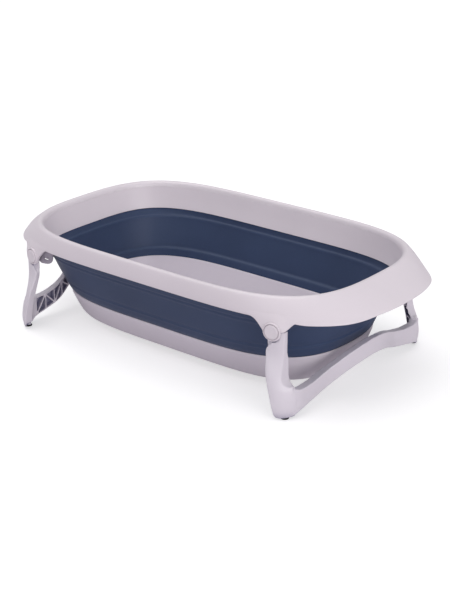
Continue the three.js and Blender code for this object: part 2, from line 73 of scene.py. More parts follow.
def weld(mesh):
    """Merges doubled points and turns the faces outwards."""
    work = bmesh.new()
    work.from_mesh(mesh)
    bmesh.ops.remove_doubles(work, verts=work.verts, dist=1e-6)
    bmesh.ops.recalc_face_normals(work, faces=work.faces)
    work.to_mesh(mesh)
    work.free()


def smooth(obj, angle):
    """Smooth shading, broken at edges sharper than angle degrees (None for no breaks)."""
    mesh = obj.data
    mesh.polygons.foreach_set("use_smooth", [True] * len(mesh.polygons))
    if angle is not None:
        mesh.set_sharp_from_angle(angle=math.radians(angle))
    mesh.update()


def new_mesh(name, verts, faces, angle=38.0):
    mesh = bpy.data.meshes.new(name)
    mesh.from_pydata((np.asarray(verts, float) * MM).tolist(), [], faces)
    weld(mesh)
    obj = add_object(name, mesh)
    smooth(obj, angle)
    return obj


def bake(obj):
    """Applies the object's modifiers."""
    bpy.context.view_layer.update()
    graph = bpy.context.evaluated_depsgraph_get()
    mesh = bpy.data.meshes.new_from_object(
        obj.evaluated_get(graph), preserve_all_data_layers=False, depsgraph=graph)
    obj.modifiers.clear()
    old = obj.data
    obj.data = mesh
    bpy.data.meshes.remove(old)


def drop(obj):
    bpy.data.objects.remove(obj, do_unlink=True)


def boolean(obj, tool, operation):
    """Cuts obj with the tool, and removes the tool."""
    modifier = obj.modifiers.new("b", "BOOLEAN")
    modifier.operation, modifier.solver, modifier.object = operation, "EXACT", tool
    bake(obj)
    drop(tool)
    return obj


def join(name, parts):
    work = bmesh.new()
    for part in parts:
        work.from_mesh(part.data)
    mesh = bpy.data.meshes.new(name)
    work.to_mesh(mesh)
    work.free()
    for part in parts:
        drop(part)
    return add_object(name, mesh)


def get_points(mesh):
    """Vertex positions in metres, one row each."""
    points = np.zeros(len(mesh.vertices) * 3)
    mesh.vertices.foreach_get("co", points)
    return points.reshape(-1, 3)


def set_points(mesh, points):
    mesh.vertices.foreach_set("co", points.ravel())


def copy_of(obj, name, scale_x=1, scale_y=1):
    mesh = obj.data.copy()
    set_points(mesh, get_points(mesh) * (scale_x, scale_y, 1))
    if scale_x * scale_y < 0:
        mesh.flip_normals()
    mesh.update()
    return add_object(name, mesh)


# ------------------------------------------------------------------ curve helpers
def catmull(points, per_span):
    """A Catmull-Rom curve through the points."""
    knots = np.asarray(points, float)
    last = len(knots) - 1
    out = []
    for i in range(last):
        before, start = knots[max(i - 1, 0)], knots[i]
        end, after = knots[i + 1], knots[min(i + 2, last)]
        for part in np.arange(per_span) / per_span:
            out.append(0.5 * (2 * start + (end - before) * part
                              + (2 * before - 5 * start + 4 * end - after) * part * part
                              + (3 * start - before - 3 * end + after) * part ** 3))
    out.append(knots[-1])
    return np.array(out)


def clip_corners(points, cut):
    """Cuts off each corner of a loop at a share of its sides."""
    here = np.asarray(points, float)
    after = np.roll(here, -1, axis=0)
    pair = [here * (1 - cut) + after * cut, here * cut + after * (1 - cut)]
    return np.stack(pair, 1).reshape(-1, 2)


def pchip(stations, curves, wanted):
    """Monotone cubic between curves, one per station, at the wanted stations."""
    stations, curves = np.asarray(stations, float), np.asarray(curves, float)
    gap = np.diff(stations)
    wide = gap.reshape(-1, 1, 1)
    slope = np.diff(curves, axis=0) / wide
    tangent = np.zeros_like(curves)
    tangent[0], tangent[-1] = slope[0], slope[-1]
    weight_a = 2 * wide[1:] + wide[:-1]
    weight_b = wide[1:] + 2 * wide[:-1]
    same = slope[1:] * slope[:-1] > 0
    with np.errstate(divide="ignore", invalid="ignore"):
        harmonic = (weight_a + weight_b) / (weight_a / np.where(same, slope[:-1], 1)
                                            + weight_b / np.where(same, slope[1:], 1))
    tangent[1:-1] = np.where(same, harmonic, 0)
    out = []
    for at in wanted:
        i = int(np.clip(np.searchsorted(stations, at) - 1, 0, len(stations) - 2))
        part = (at - stations[i]) / gap[i]
        out.append((2 * part ** 3 - 3 * part * part + 1) * curves[i]
                   + (part ** 3 - 2 * part * part + part) * gap[i] * tangent[i]
                   + (-2 * part ** 3 + 3 * part * part) * curves[i + 1]
                   + (part ** 3 - part * part) * gap[i] * tangent[i + 1])
    return np.array(out)


def arc(centre_x, centre_z, radius, start, end, steps):
    """Points on a circle, between two angles in degrees."""
    angle = np.radians(np.linspace(start, end, steps + 1))
    return np.stack([centre_x + radius * np.cos(angle), centre_z + radius * np.sin(angle)], 1)


def left_normals(curve):
    """Unit vectors to the left of travel along a flat curve."""
    along = np.gradient(curve, axis=0)
    along /= np.linalg.norm(along, axis=1)[:, None]
    return np.stack([-along[:, 1], along[:, 0]], 1)


def inset(curve, depth):
    """The curve moved to the right of its travel."""
    return curve - left_normals(curve) * depth


def rounded(points, radius, steps, closed=False):
    """A profile with its inner corners rounded off to about the radius."""
    points = [np.array(point, float) for point in points]
    count = len(points)
    out = [] if closed else [points[0]]
    for i in range(count) if closed else range(1, count - 1):
        corner = points[i]
        back, ahead = points[i - 1] - corner, points[(i + 1) % count] - corner
        back_length, ahead_length = np.linalg.norm(back), np.linalg.norm(ahead)
        reach = min(radius, 0.45 * back_length, 0.45 * ahead_length)
        start, end = corner + back / back_length * reach, corner + ahead / ahead_length * reach
        for part in np.linspace(0, 1, steps + 1):
            out.append((1 - part) ** 2 * start + 2 * part * (1 - part) * corner + part * part * end)
    if not closed:
        out.append(points[-1])
    return out


def ease(value, low, high):
    """Smooth step from 0 at low to 1 at high."""
    part = np.clip((value - low) / (high - low), 0, 1)
    return part * part * (3 - 2 * part)


# ------------------------------------------------------------------ solids
def around(count):
    """Each position in a ring, with the one after it."""
    return [(i, (i + 1) % count) for i in range(count)]


def ring_quads(low, high):
    return [[low[i], low[j], high[j], high[i]] for i, j in around(len(low))]


def ring_rows(rows, count):
    """Vertex indices of so many rings of count points."""
    return [range(row * count, (row + 1) * count) for row in range(rows)]


def prism(points, axis, low, high):
    """An outline drawn out along an axis; its columns are the other two axes in order."""
    points = np.asarray(points, float)
    column = "xyz".index(axis)
    verts = np.concatenate([np.insert(points, column, end, axis=1) for end in (low, high)])
    bottom, top = ring_rows(2, len(points))
    return new_mesh("tmp", verts, [list(bottom)[::-1], list(top)] + ring_quads(bottom, top))


def loft(rows):
    """A body through rows of (z, outline), the outline's y being a distance to the front."""
    rings = ring_rows(len(rows), len(rows[0][1]))
    verts = [(x, -y, z) for z, plan in rows for x, y in plan]
    faces = []
    for low, high in zip(rings, rings[1:]):
        faces += ring_quads(low, high)
    faces += [list(rings[0])[::-1], list(rings[-1])]
    return new_mesh("tmp", verts, faces)


def lathe(name, profile, centre, axis="z", segments=64, angle=40.0, turn=0.0):
    """A body of revolution; the profile of (radius, height) runs from axis to axis, or as a ring.

    With axis "y" the height runs towards -Y. The turn is about Z, in radians.
    """
    angles = np.linspace(0, 2 * math.pi, segments, endpoint=False)
    verts, faces, rings = [], [], []
    for radius, height in profile:
        if radius < 1e-6:
            rings.append([len(verts)])
            verts.append((0, 0, height))
        else:
            rings.append(range(len(verts), len(verts) + segments))
            verts += [(radius * math.cos(at), radius * math.sin(at), height) for at in angles]
    pairs = list(zip(rings, rings[1:]))
    if profile[0][0] > 1e-6:
        pairs.append((rings[-1], rings[0]))
    for low, high in pairs:
        if len(low) == 1:
            faces += [[low[0], high[i], high[j]] for i, j in around(segments)]
        elif len(high) == 1:
            faces += [[low[i], low[j], high[0]] for i, j in around(segments)]
        else:
            faces += ring_quads(low, high)
    verts = np.array(verts)
    if axis == "y":
        verts = np.stack([verts[:, 0], -verts[:, 2], verts[:, 1]], 1)
    if turn:
        cos, sin = math.cos(turn), math.sin(turn)
        x, y, z = verts.T
        verts = np.stack([x * cos - y * sin, x * sin + y * cos, z], 1)
    return new_mesh(name, verts + np.asarray(centre, float), faces, angle)


def quarter(half_x, half_y, power_x, power_y):
    """A quarter of a superellipse, its points spread by both length and turning."""
    steps = 900
    phi = (math.pi / 2) * (1 - np.cos(math.pi * np.arange(steps + 1) / steps)) / 2
    x = half_x * np.maximum(np.cos(phi), 0) ** (2 / power_x)
    y = half_y * np.maximum(np.sin(phi), 0) ** (2 / power_y)
    x[-1], y[0] = 0.0, 0.0
    step_x, step_y = np.diff(x), np.diff(y)
    length = np.concatenate([[0], np.cumsum(np.hypot(step_x, step_y))])
    turn = np.maximum.accumulate(np.concatenate([[0], np.arctan2(-step_x, step_y)]))
    spread = 0.55 * length / length[-1] + 0.45 * turn / turn[-1]
    wanted = np.arange(RING // 4) / (RING // 4)
    return np.interp(wanted, spread, x), np.interp(wanted, spread, y)


def outline(half_x, half_y, power_x, power_y, z):
    x, y = quarter(half_x, half_y, power_x, power_y)
    x = np.concatenate([x, [0], -x[:0:-1]])
    y = np.concatenate([y, [half_y], y[:0:-1]])
    x, y = np.concatenate([x, -x]), np.concatenate([y, -y])
    return np.stack([x, y, np.full(len(x), z)], 1)


def ring_skin(name, levels, closed=True, angle=50.0):
    """A skin through bowl levels, closed on itself or capped at its two ends."""
    verts = np.concatenate([outline(*level) for level in levels])
    rings = ring_rows(len(levels), RING)
    faces = []
    for low, high in zip(rings, rings[1:] + rings[:1] if closed else rings[1:]):
        faces += ring_quads(low, high)
    if not closed:
        first, last = len(verts), len(verts) + 1
        verts = np.concatenate([verts, [[0, 0, levels[0][4]], [0, 0, levels[-1][4]]]])
        for i, j in around(RING):
            faces += [[first, j, i], [last, rings[-1][i], rings[-1][j]]]
    return new_mesh(name, verts, faces, angle)


# ------------------------------------------------------------------ materials
def feed(socket, value):
    """Links or sets an input; a three-part colour gains an alpha of 1."""
    if isinstance(value, bpy.types.NodeSocket):
        socket.id_data.links.new(value, socket)
        return
    if isinstance(value, tuple) and len(value) < len(socket.default_value):
        value = (*value, 1)
    socket.default_value = value


def feed_all(node, inputs):
    for key, value in inputs.items():
        feed(node.inputs[key], value)


def add_node(tree, kind, inputs, **settings):
    node = tree.nodes.new("ShaderNode" + kind)
    for key, value in settings.items():
        setattr(node, key, value)
    feed_all(node, inputs)
    return node


def material(name, colour, rough, *, vary, spots, grain, grain_depth, rough_vary, wear=None,
             wear_low=0.52, wear_amount=0.5, scratch=0.0, corner_shade=0.0, recess_shade=None, metal=0.0,
             coat=0.0, sheen=0.0, subsurface=0.0, specular=0.5, wave_scale=22,
             wave_depth=0.0005):
    """A moulded or metal surface with clouded colour, worn edges, painted shade in corners and recesses,
    and fine grain.

    vary, rough_vary: spread of colour and of roughness; spots: noise scale of that spread
    grain, grain_depth: scale and depth (m) of the fine bumps; wave_*: those of the broad ones
    wear, wear_low, wear_amount: edge colour, the pointiness where it starts, its strength
    scratch: roughness added in streaks; corner_shade: painted shade, the corners darkened by occlusion
    recess_shade: (distance in m, colour, amount) of painted shade darkening deep recesses
    """
    mat = bpy.data.materials.new(name)
    mat.use_nodes = True
    tree = mat.node_tree
    shader = tree.nodes["Principled BSDF"]
    place = add_node(tree, "TexCoord", {}).outputs["Object"]

    def noise(scale, detail, roughness, vector=place):
        inputs = {"Scale": scale, "Detail": detail, "Roughness": roughness, "Vector": vector}
        return add_node(tree, "TexNoise", inputs).outputs["Fac"]

    def ramp(source, start, end, low=0, high=1):
        """Grey from low at start to high at end."""
        node = add_node(tree, "ValToRGB", {"Fac": source})
        stops = ((start, low), (end, high))
        for element, (position, value) in zip(node.color_ramp.elements, stops):
            element.position = position
            element.color = (value, value, value, 1)
        return node.outputs["Color"]

    def mix(amount, first, second, mode="MIX"):
        inputs = {0: amount, 6: first, 7: second}
        return add_node(tree, "Mix", inputs, data_type="RGBA", blend_type=mode).outputs[2]

    def compute(operation, first, second):
        return add_node(tree, "Math", {0: first, 1: second}, operation=operation).outputs[0]

    def occlusion(distance, samples):
        node = add_node(tree, "AmbientOcclusion", {"Distance": distance}, samples=samples)
        return node.outputs["AO"]

    # colour: broad clouds, then a quarter share of fine speckle
    dark = tuple(part * (1 - vary * 1.6) for part in colour)
    light = tuple(min(part * (1 + vary), 1) for part in colour)
    base = mix(ramp(noise(spots, detail=4.0, roughness=0.55), 0.3, 0.7), dark, light)
    speckle = ramp(noise(grain * 0.22, detail=2.0, roughness=0.6), 0.35, 0.65)
    base = mix(0.25, base, mix(speckle, dark, light))
    # painted shade: corners darkened towards grey by ambient occlusion
    if corner_shade:
        corners = compute("SUBTRACT", 1.0, occlusion(distance=0.006, samples=4))
        corner_shade_tone = mix(1.0, base, (0.62, 0.60, 0.62), "MULTIPLY")
        base = mix(compute("MULTIPLY", corners, corner_shade), base, corner_shade_tone)
    # painted shade: deep recesses darkened towards a bluish shade colour by ambient occlusion
    if recess_shade:
        distance, tone, amount = recess_shade
        deep = ramp(occlusion(distance, samples=6), 0.22, 0.70, low=1, high=0)
        base = mix(compute("MULTIPLY", deep, amount), base, tone)
    if wear is not None:
        pointiness = add_node(tree, "NewGeometry", {}).outputs["Pointiness"]
        edge = ramp(pointiness, wear_low, wear_low + 0.06)
        broken = ramp(noise(60, detail=4.0, roughness=0.7), 0.42, 0.62, low=0.15)
        worn = compute("MULTIPLY", compute("MULTIPLY", edge, broken), wear_amount)
        base = mix(worn, base, wear)

    # roughness: spread about its mean, with long thin streaks
    spread = compute("SUBTRACT", noise(spots * 3.1, detail=5.0, roughness=0.6), 0.5)
    roughness = compute("ADD", compute("MULTIPLY", spread, rough_vary * 2), rough)
    if scratch:
        stretch = {"Scale": (14, 160, 160), "Rotation": (0.3, 0.2, 0.5), "Vector": place}
        streaks = add_node(tree, "Mapping", stretch).outputs["Vector"]
        lines = ramp(noise(3.0, detail=6.0, roughness=0.75, vector=streaks), 0.62, 0.66)
        roughness = compute("ADD", roughness, compute("MULTIPLY", lines, scratch))

    wave = add_node(tree, "Bump", {
        "Strength": 0.35, "Distance": wave_depth,
        "Height": noise(wave_scale, detail=2.0, roughness=0.4)})
    bump = add_node(tree, "Bump", {
        "Strength": 0.55, "Distance": grain_depth,
        "Height": noise(grain, detail=3.0, roughness=0.6), "Normal": wave.outputs["Normal"]})
    feed_all(shader, {
        "Base Color": base, "Roughness": roughness, "Normal": bump.outputs["Normal"],
        "Metallic": metal, "Specular IOR Level": specular, "Sheen Weight": sheen,
        "Sheen Roughness": 0.45, "Coat Weight": coat, "Coat Roughness": 0.25})
    if subsurface:
        feed_all(shader, {"Subsurface Weight": subsurface, "Subsurface Scale": 0.6,
                          "Subsurface Radius": (0.004, 0.003, 0.003)})
    return mat


# painted shade: each material's corners are darkened by occlusion, as set below
WHITE = material(
    "pp_white", (0.745, 0.690, 0.735), 0.36, vary=0.018, spots=7, grain=2300,
    grain_depth=0.00003, rough_vary=0.05, wear=(0.86, 0.84, 0.86), wear_amount=0.35,
    scratch=0.10, corner_shade=0.35, coat=0.12)
TRAY = material(
    "pp_tray", (0.700, 0.650, 0.715), 0.40, vary=0.022, spots=6, grain=2300,
    grain_depth=0.00004, rough_vary=0.06, wear=(0.84, 0.82, 0.85), wear_amount=0.3,
    scratch=0.12, corner_shade=0.35, coat=0.08)
# painted shade: the leg's rib pockets are darkened to indigo by occlusion
LEG = material(
    "pp_leg", (0.715, 0.675, 0.735), 0.38, vary=0.020, spots=9, grain=2500,
    grain_depth=0.00003, rough_vary=0.05, wear=(0.86, 0.84, 0.87), wear_amount=0.35,
    scratch=0.12, corner_shade=0.45, coat=0.10, recess_shade=(0.030, (0.13, 0.13, 0.25), 0.85))
NAVY = material(
    "tpe_navy", (0.036, 0.058, 0.122), 0.50, vary=0.10, spots=5, grain=1900,
    grain_depth=0.00006, rough_vary=0.07, sheen=0.03, wear=(0.120, 0.165, 0.270),
    wear_low=0.505, wear_amount=0.45, corner_shade=0.6, wave_scale=14, wave_depth=0.0011, specular=0.30)
GREY = material(
    "nylon_grey", (0.330, 0.300, 0.360), 0.46, vary=0.05, spots=30, grain=1700,
    grain_depth=0.00008, rough_vary=0.08, wear=(0.50, 0.48, 0.52), wear_amount=0.4, corner_shade=0.5)
RUBBER = material(
    "rubber_black", (0.012, 0.012, 0.014), 0.62, vary=0.25, spots=60, grain=1500,
    grain_depth=0.00012, rough_vary=0.12, wear=(0.06, 0.06, 0.062))
SEAL = material(
    "seal_silicone", (0.42, 0.42, 0.45), 0.42, vary=0.05, spots=40, grain=1800,
    grain_depth=0.00006, rough_vary=0.08, subsurface=0.2)
STEEL = material(
    "zinc_steel", (0.52, 0.53, 0.56), 0.28, vary=0.05, spots=120, grain=3000,
    grain_depth=0.00003, rough_vary=0.10, metal=1.0, scratch=0.2, wear=(0.75, 0.76, 0.78),
    wear_amount=0.4)


def finish_piece(obj, body, mat, replaced=None):
    obj.data.materials.clear()
    obj.data.materials.append(mat)
    if replaced:
        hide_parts(replaced)
    if body:
        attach(obj, body)


# ------------------------------------------------------------------ rim
# Every bowl level is: half length x, half width y, x exponent, y exponent, height z.
RIM = [
    # up and over the crest
    (342.4, 207.2, 4.33, 3.05, 197.2), (343.3, 208.0, 4.31, 3.02, 200.6),
    (344.5, 209.1, 4.3, 3.0, 203.4), (346.1, 210.5, 4.3, 3.0, 205.4),
    (348.2, 212.4, 4.3, 3.0, 206.6), (350.6, 214.5, 4.3, 2.99, 207.0),
    (353.0, 216.3, 4.3, 2.98, 206.6), (355.4, 217.7, 4.3, 2.96, 205.5),
    (358.2, 218.9, 4.31, 2.94, 203.6),
    # outer face, down to the lower edge
    (362.4, 219.6, 4.33, 2.90, 200.9), (372.0, 220.0, 4.39, 2.78, 195.4),
    (380.0, 220.1, 4.43, 2.69, 191.0), (388.0, 220.2, 4.47, 2.60, 186.5),
    (396.5, 220.0, 4.52, 2.51, 181.4), (404.0, 219.6, 4.56, 2.45, 176.5),
    (409.0, 219.2, 4.59, 2.41, 173.0), (410.6, 219.0, 4.6, 2.4, 171.9),
    (410.8, 218.8, 4.6, 2.4, 171.3), (410.3, 218.3, 4.6, 2.4, 170.95),
    # underside, back to the crest
    (409.4, 217.4, 4.6, 2.4, 170.95), (408.6, 216.7, 4.6, 2.4, 171.5),
    (403.0, 216.8, 4.56, 2.44, 174.6), (396.0, 217.2, 4.52, 2.5, 178.8),
    (386.0, 217.3, 4.47, 2.6, 184.0), (371.0, 217.0, 4.39, 2.78, 192.4),
    (360.0, 216.4, 4.32, 2.9, 198.2), (354.6, 215.2, 4.3, 2.94, 200.6),
    (350.0, 213.0, 4.3, 2.98, 201.2), (346.6, 210.9, 4.3, 3.0, 200.0),
    (344.9, 209.4, 4.32, 3.04, 197.2),
]
RIM_FACE_LOW = 171.9  # lowest z of the outer face
RIM_FACE = np.array(RIM[9:17])[::-1]  # outer face from the bottom up


def lower_part(z):
    """0 at the top of the rim's face, 1 at its lower edge."""
    return ease(-z, -198, -171)


def corner_droop(x, z):
    return 5.2 * lower_part(z) * ease(np.abs(x), 290, 336)


def hang(obj):
    """Lowers the rim's edge at its corners, less so to the back right, and flares the ends."""
    points = get_points(obj.data) / MM
    x, y, z = points.T.copy()
    keep = np.where(x > 0, 1 - ease(x, 372, 408) * ease(y, -150, -60), 1.0)
    points[:, 2] -= corner_droop(x, z) * keep
    points[:, 0] += 3.0 * lower_part(z) * ease(np.abs(x), 330, 400)
    set_points(obj.data, points * MM)
    obj.data.update()


def rim_y(x, z):
    """Half width of the rim's outer face, before it hangs."""
    half_x, half_y, power_x, power_y = [
        np.interp(z, RIM_FACE[:, 4], RIM_FACE[:, column]) for column in range(4)]
    return half_y * max(1 - (abs(x) / half_x) ** power_x, 0) ** (1 / power_y)


rim = ring_skin("rim_shell", RIM, angle=60)
hang(rim)
finish_piece(rim, "frame", WHITE, "rim_cover")

# skirt inside the rim: top edge, down the outer side, then up the inner
SKIRT = [
    (342.35, 207.15, 4.33, 3.05, 197.0), (344.8, 209.3, 4.33, 3.05, 197.0),
    (343.9, 208.7, 4.36, 3.12, 192.5), (339.6, 205.2, 4.45, 3.3, 176.0),
    (335.6, 201.6, 4.53, 3.46, 163.5), (332.3, 198.2, 4.6, 3.6, 153.6),
    (331.7, 197.7, 4.6, 3.6, 152.9), (330.2, 196.2, 4.6, 3.6, 152.8),
    (329.5, 195.5, 4.6, 3.6, 153.4), (330.0, 196.1, 4.59, 3.58, 155.5),
    (333.0, 199.2, 4.53, 3.46, 164.0), (336.8, 202.6, 4.45, 3.3, 176.0),
    (340.4, 205.5, 4.37, 3.14, 189.5), (342.0, 206.8, 4.34, 3.07, 195.4),
]
finish_piece(ring_skin("skirt_shell", SKIRT), "frame", WHITE, "inner_skirt")

# ------------------------------------------------------------------ soft wall
# inner side, downwards
WALL_IN = [
    (330.9, 196.9, 4.6, 3.6, 152.65), (330.0, 196.5, 4.63, 3.5, 150.6),
    (328.8, 196.0, 4.68, 3.35, 147.4), (327.6, 195.4, 4.75, 3.22, 144.4),
    (326.4, 194.6, 4.8, 3.12, 142.4), (324.9, 193.4, 4.82, 3.04, 141.3),
    (323.4, 192.2, 4.84, 2.98, 140.7), (322.4, 191.2, 4.84, 2.92, 139.6),
    (321.9, 190.4, 4.84, 2.86, 137.9), (321.8, 189.9, 4.83, 2.82, 135.6),
    (321.4, 189.2, 4.81, 2.8, 132.5), (319.8, 186.8, 4.75, 2.76, 124.5),
    (317.0, 182.9, 4.65, 2.7, 112.5), (314.0, 179.1, 4.55, 2.64, 101.0),
    (311.6, 176.0, 4.47, 2.6, 91.0), (310.3, 174.2, 4.42, 2.58, 85.4),
    (309.7, 173.3, 4.4, 2.57, 82.4), (308.8, 172.1, 4.38, 2.56, 80.4),
    (307.0, 170.4, 4.34, 2.54, 79.3), (305.0, 168.4, 4.3, 2.53, 78.6),
    (303.8, 167.0, 4.32, 2.6, 77.4), (303.2, 165.8, 4.34, 2.64, 75.2),
    (302.8, 164.7, 4.35, 2.68, 72.2), (302.3, 163.3, 4.36, 2.7, 68.4),
    (301.8, 162.1, 4.36, 2.72, 65.2), (301.6, 161.8, 4.36, 2.72, 63.9),
]
# outer side, upwards
WALL_OUT = [
    (303.3, 163.7, 4.3, 2.68, 63.9), (304.0, 164.4, 4.27, 2.65, 66.6),
    (304.8, 165.1, 4.24, 2.62, 69.9), (306.2, 166.3, 4.22, 2.6, 71.0),
    (307.2, 167.4, 4.22, 2.6, 71.2), (307.9, 168.4, 4.23, 2.59, 72.2),
    (309.2, 170.8, 4.27, 2.57, 75.2), (310.9, 173.8, 4.33, 2.55, 79.5),
    (312.5, 176.1, 4.39, 2.54, 84.5), (313.9, 177.9, 4.43, 2.53, 88.6),
    (314.8, 179.0, 4.45, 2.53, 90.6), (315.1, 179.4, 4.47, 2.54, 92.2),
    (315.0, 179.4, 4.5, 2.55, 94.0), (315.6, 180.2, 4.52, 2.56, 97.4),
    (317.0, 182.0, 4.56, 2.58, 101.0), (320.6, 186.1, 4.66, 2.64, 112.5),
    (324.2, 190.0, 4.76, 2.7, 124.5), (326.6, 193.0, 4.84, 2.75, 134.0),
    (327.9, 194.8, 4.88, 2.85, 140.0), (328.6, 195.9, 4.9, 2.95, 143.2),
    (329.4, 197.1, 4.88, 3.05, 145.4), (330.1, 198.0, 4.85, 3.12, 147.2),
    (330.3, 198.3, 4.8, 3.2, 148.8), (330.6, 198.3, 4.75, 3.3, 150.4),
    (332.0, 199.0, 4.6, 3.5, 152.0), (334.0, 200.5, 4.6, 3.58, 154.2),
    (335.6, 201.9, 4.57, 3.54, 158.4), (337.3, 203.5, 4.53, 3.48, 163.2),
    (337.5, 203.7, 4.53, 3.46, 164.4), (336.8, 203.1, 4.53, 3.46, 165.0),
    (336.1, 202.3, 4.53, 3.46, 164.3), (334.2, 200.3, 4.57, 3.53, 158.8),
    (332.7, 198.8, 4.6, 3.6, 154.2), (331.9, 197.9, 4.6, 3.6, 152.65),
]
wall_levels = np.concatenate([catmull(WALL_IN, 3), catmull(WALL_OUT, 3)])
wall = ring_skin("soft_wall", wall_levels, angle=70)
finish_piece(wall, None, NAVY, "collapsible_wall")
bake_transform(wall)

# ------------------------------------------------------------------ base tray
# inside, from the middle of the floor up
TRAY_IN = [
    (50.0, 20.0, 2.4, 2.1, 15.0), (120.0, 46.0, 3.0, 2.4, 15.0), (190.0, 76.0, 3.5, 2.6, 15.0),
    (244.0, 102.0, 4.2, 2.85, 15.0), (256.0, 112.2, 4.35, 2.95, 15.1),
    (266.0, 121.2, 4.45, 3.02, 15.9), (274.5, 128.8, 4.5, 3.06, 17.6),
    (281.4, 134.8, 4.5, 3.08, 21.4), (285.2, 138.8, 4.5, 3.05, 26.0),
    (288.6, 142.8, 4.48, 3.0, 32.6), (293.3, 149.2, 4.42, 2.9, 43.5),
    (298.2, 156.4, 4.38, 2.8, 55.5), (300.0, 159.4, 4.36, 2.74, 61.2),
    (300.6, 160.5, 4.36, 2.72, 63.2),
]
# over the edge and down the outside to the middle of the underside
TRAY_OUT = [
    (301.1, 161.2, 4.36, 2.72, 63.5), (302.7, 162.9, 4.33, 2.69, 63.3),
    (304.2, 164.5, 4.27, 2.64, 64.8), (305.2, 165.4, 4.24, 2.62, 67.6),
    (305.9, 165.9, 4.22, 2.6, 69.8), (306.4, 166.4, 4.22, 2.6, 70.6),
    (307.2, 167.1, 4.22, 2.6, 70.8), (307.9, 167.7, 4.22, 2.6, 70.4),
    (308.1, 167.8, 4.22, 2.61, 69.4), (307.2, 166.7, 4.22, 2.63, 65.5),
    (306.3, 165.4, 4.23, 2.66, 61.5), (302.4, 159.9, 4.3, 2.76, 52.0),
    (297.2, 152.9, 4.4, 2.88, 40.0), (292.2, 146.6, 4.5, 3.0, 30.2),
    (290.0, 143.6, 4.55, 3.06, 25.8), (287.6, 140.7, 4.58, 3.1, 21.6),
    (284.2, 137.2, 4.6, 3.12, 17.6), (279.4, 132.9, 4.6, 3.12, 14.5),
    (272.5, 127.0, 4.55, 3.08, 12.7), (264.0, 119.4, 4.45, 3.02, 12.0),
    (252.0, 108.6, 4.3, 2.92, 12.0), (250.5, 107.2, 4.3, 2.92, 12.3),
    (249.2, 106.0, 4.3, 2.92, 13.1), (247.4, 104.2, 4.3, 2.92, 13.3),
    (200.0, 78.0, 3.6, 2.6, 13.3), (120.0, 46.0, 3.0, 2.4, 13.3), (50.0, 20.0, 2.4, 2.1, 13.3),
]
TRAY_FLOOR = 15
DRAIN_RADIUS = 14.4
# (radius, height above the floor) of one dot, and the dots' spacing
DOT_PROFILE = ((2.7, -0.3), (2.6, 0.1), (2.1, 0.42), (1.1, 0.6))
DOT_PITCH_X, DOT_PITCH_Y = 13.0, 11.5
DOT_SIDES = 12
DOT_FIELD_X, DOT_FIELD_Y, DOT_FIELD_POWER = 205, 68, 2.6
DOT_DRAIN_GAP = 34


def build_dots():
    """Low raised dots in staggered rows over the tray's floor, clear of the drain."""
    angles = np.linspace(0, 2 * math.pi, DOT_SIDES, endpoint=False)
    verts, faces = [], []
    for row in range(-5, 6):
        for column in range(-15, 16):
            x = column * DOT_PITCH_X + (DOT_PITCH_X / 2 if row % 2 else 0)
            y = row * DOT_PITCH_Y
            reach = ((abs(x) / DOT_FIELD_X) ** DOT_FIELD_POWER
                     + (abs(y) / DOT_FIELD_Y) ** DOT_FIELD_POWER)
            if reach > 1 or math.hypot(x - DRAIN_CENTRE[0], y) < DOT_DRAIN_GAP:
                continue
            rings = []
            for radius, height in DOT_PROFILE:
                rings.append(range(len(verts), len(verts) + DOT_SIDES))
                verts += [(x + radius * math.cos(at), y + radius * math.sin(at),
                           TRAY_FLOOR + height) for at in angles]
            for low, high in zip(rings, rings[1:]):
                faces += ring_quads(low, high)
            faces += [list(rings[-1]), list(rings[0])[::-1]]
    return new_mesh("grip", verts, faces)


def build_tray():
    tray = ring_skin("tray_shell", TRAY_IN + TRAY_OUT, closed=False, angle=40)
    hole = [(0, 5), (DRAIN_RADIUS, 5), (DRAIN_RADIUS, 20), (0, 20)]
    boolean(tray, lathe("tmp", hole, DRAIN_CENTRE), "DIFFERENCE")
    collar = [(DRAIN_RADIUS, 9.5), (18, 9.5), (18.6, 13.6), (DRAIN_RADIUS, 14.6)]
    spout = lathe("tmp", rounded(collar, 0.5, 3, closed=True), DRAIN_CENTRE)
    tray = join("tray_shell", [tray, spout, build_dots()])
    smooth(tray, 40)
    return tray


finish_piece(build_tray(), "base", TRAY, "base_tray")

SEAL_PROFILE = [(14.7, 15.1), (19.8, 15.1), (19.8, 16.6), (14.7, 16.6)]
seal = lathe("drain_ring", rounded(SEAL_PROFILE, 0.6, 4, closed=True), DRAIN_CENTRE, segments=72)
finish_piece(seal, "base", SEAL, "drain_seal")
# plug, flange over the seal, then the knob
STOPPER_PROFILE = [
    (0, 8.5), (11.6, 8.5), (12.6, 9.6), (12.9, 11.2), (12.3, 12.2), (13.1, 13.4), (13.6, 16.7),
    (20.2, 16.7), (21.0, 17.5), (20.8, 18.3), (18.6, 18.9), (17.4, 18.3), (15.6, 18.4),
    (13.6, 19.2), (9.0, 20.2), (6.2, 21.6), (5.5, 23.6), (6.2, 25.4), (7.3, 26.6), (7.0, 27.7),
    (4.6, 28.3), (0, 28.3),
]
stopper = lathe("drain_plug", rounded(STOPPER_PROFILE, 0.5, 3), DRAIN_CENTRE, segments=72, angle=45)
finish_piece(stopper, "stopper", GREY, "drain_stopper")

# ------------------------------------------------------------------ legs (right-hand frame)
# Each frame is a front and a back arm joined by a bowed bar with ribs behind its outer skin.
SKIN = 2.6  # thickness left outside the pockets
LEG_VOXEL = 1.0
ARM_Y = (-230, -150)  # range in y that holds the front arm
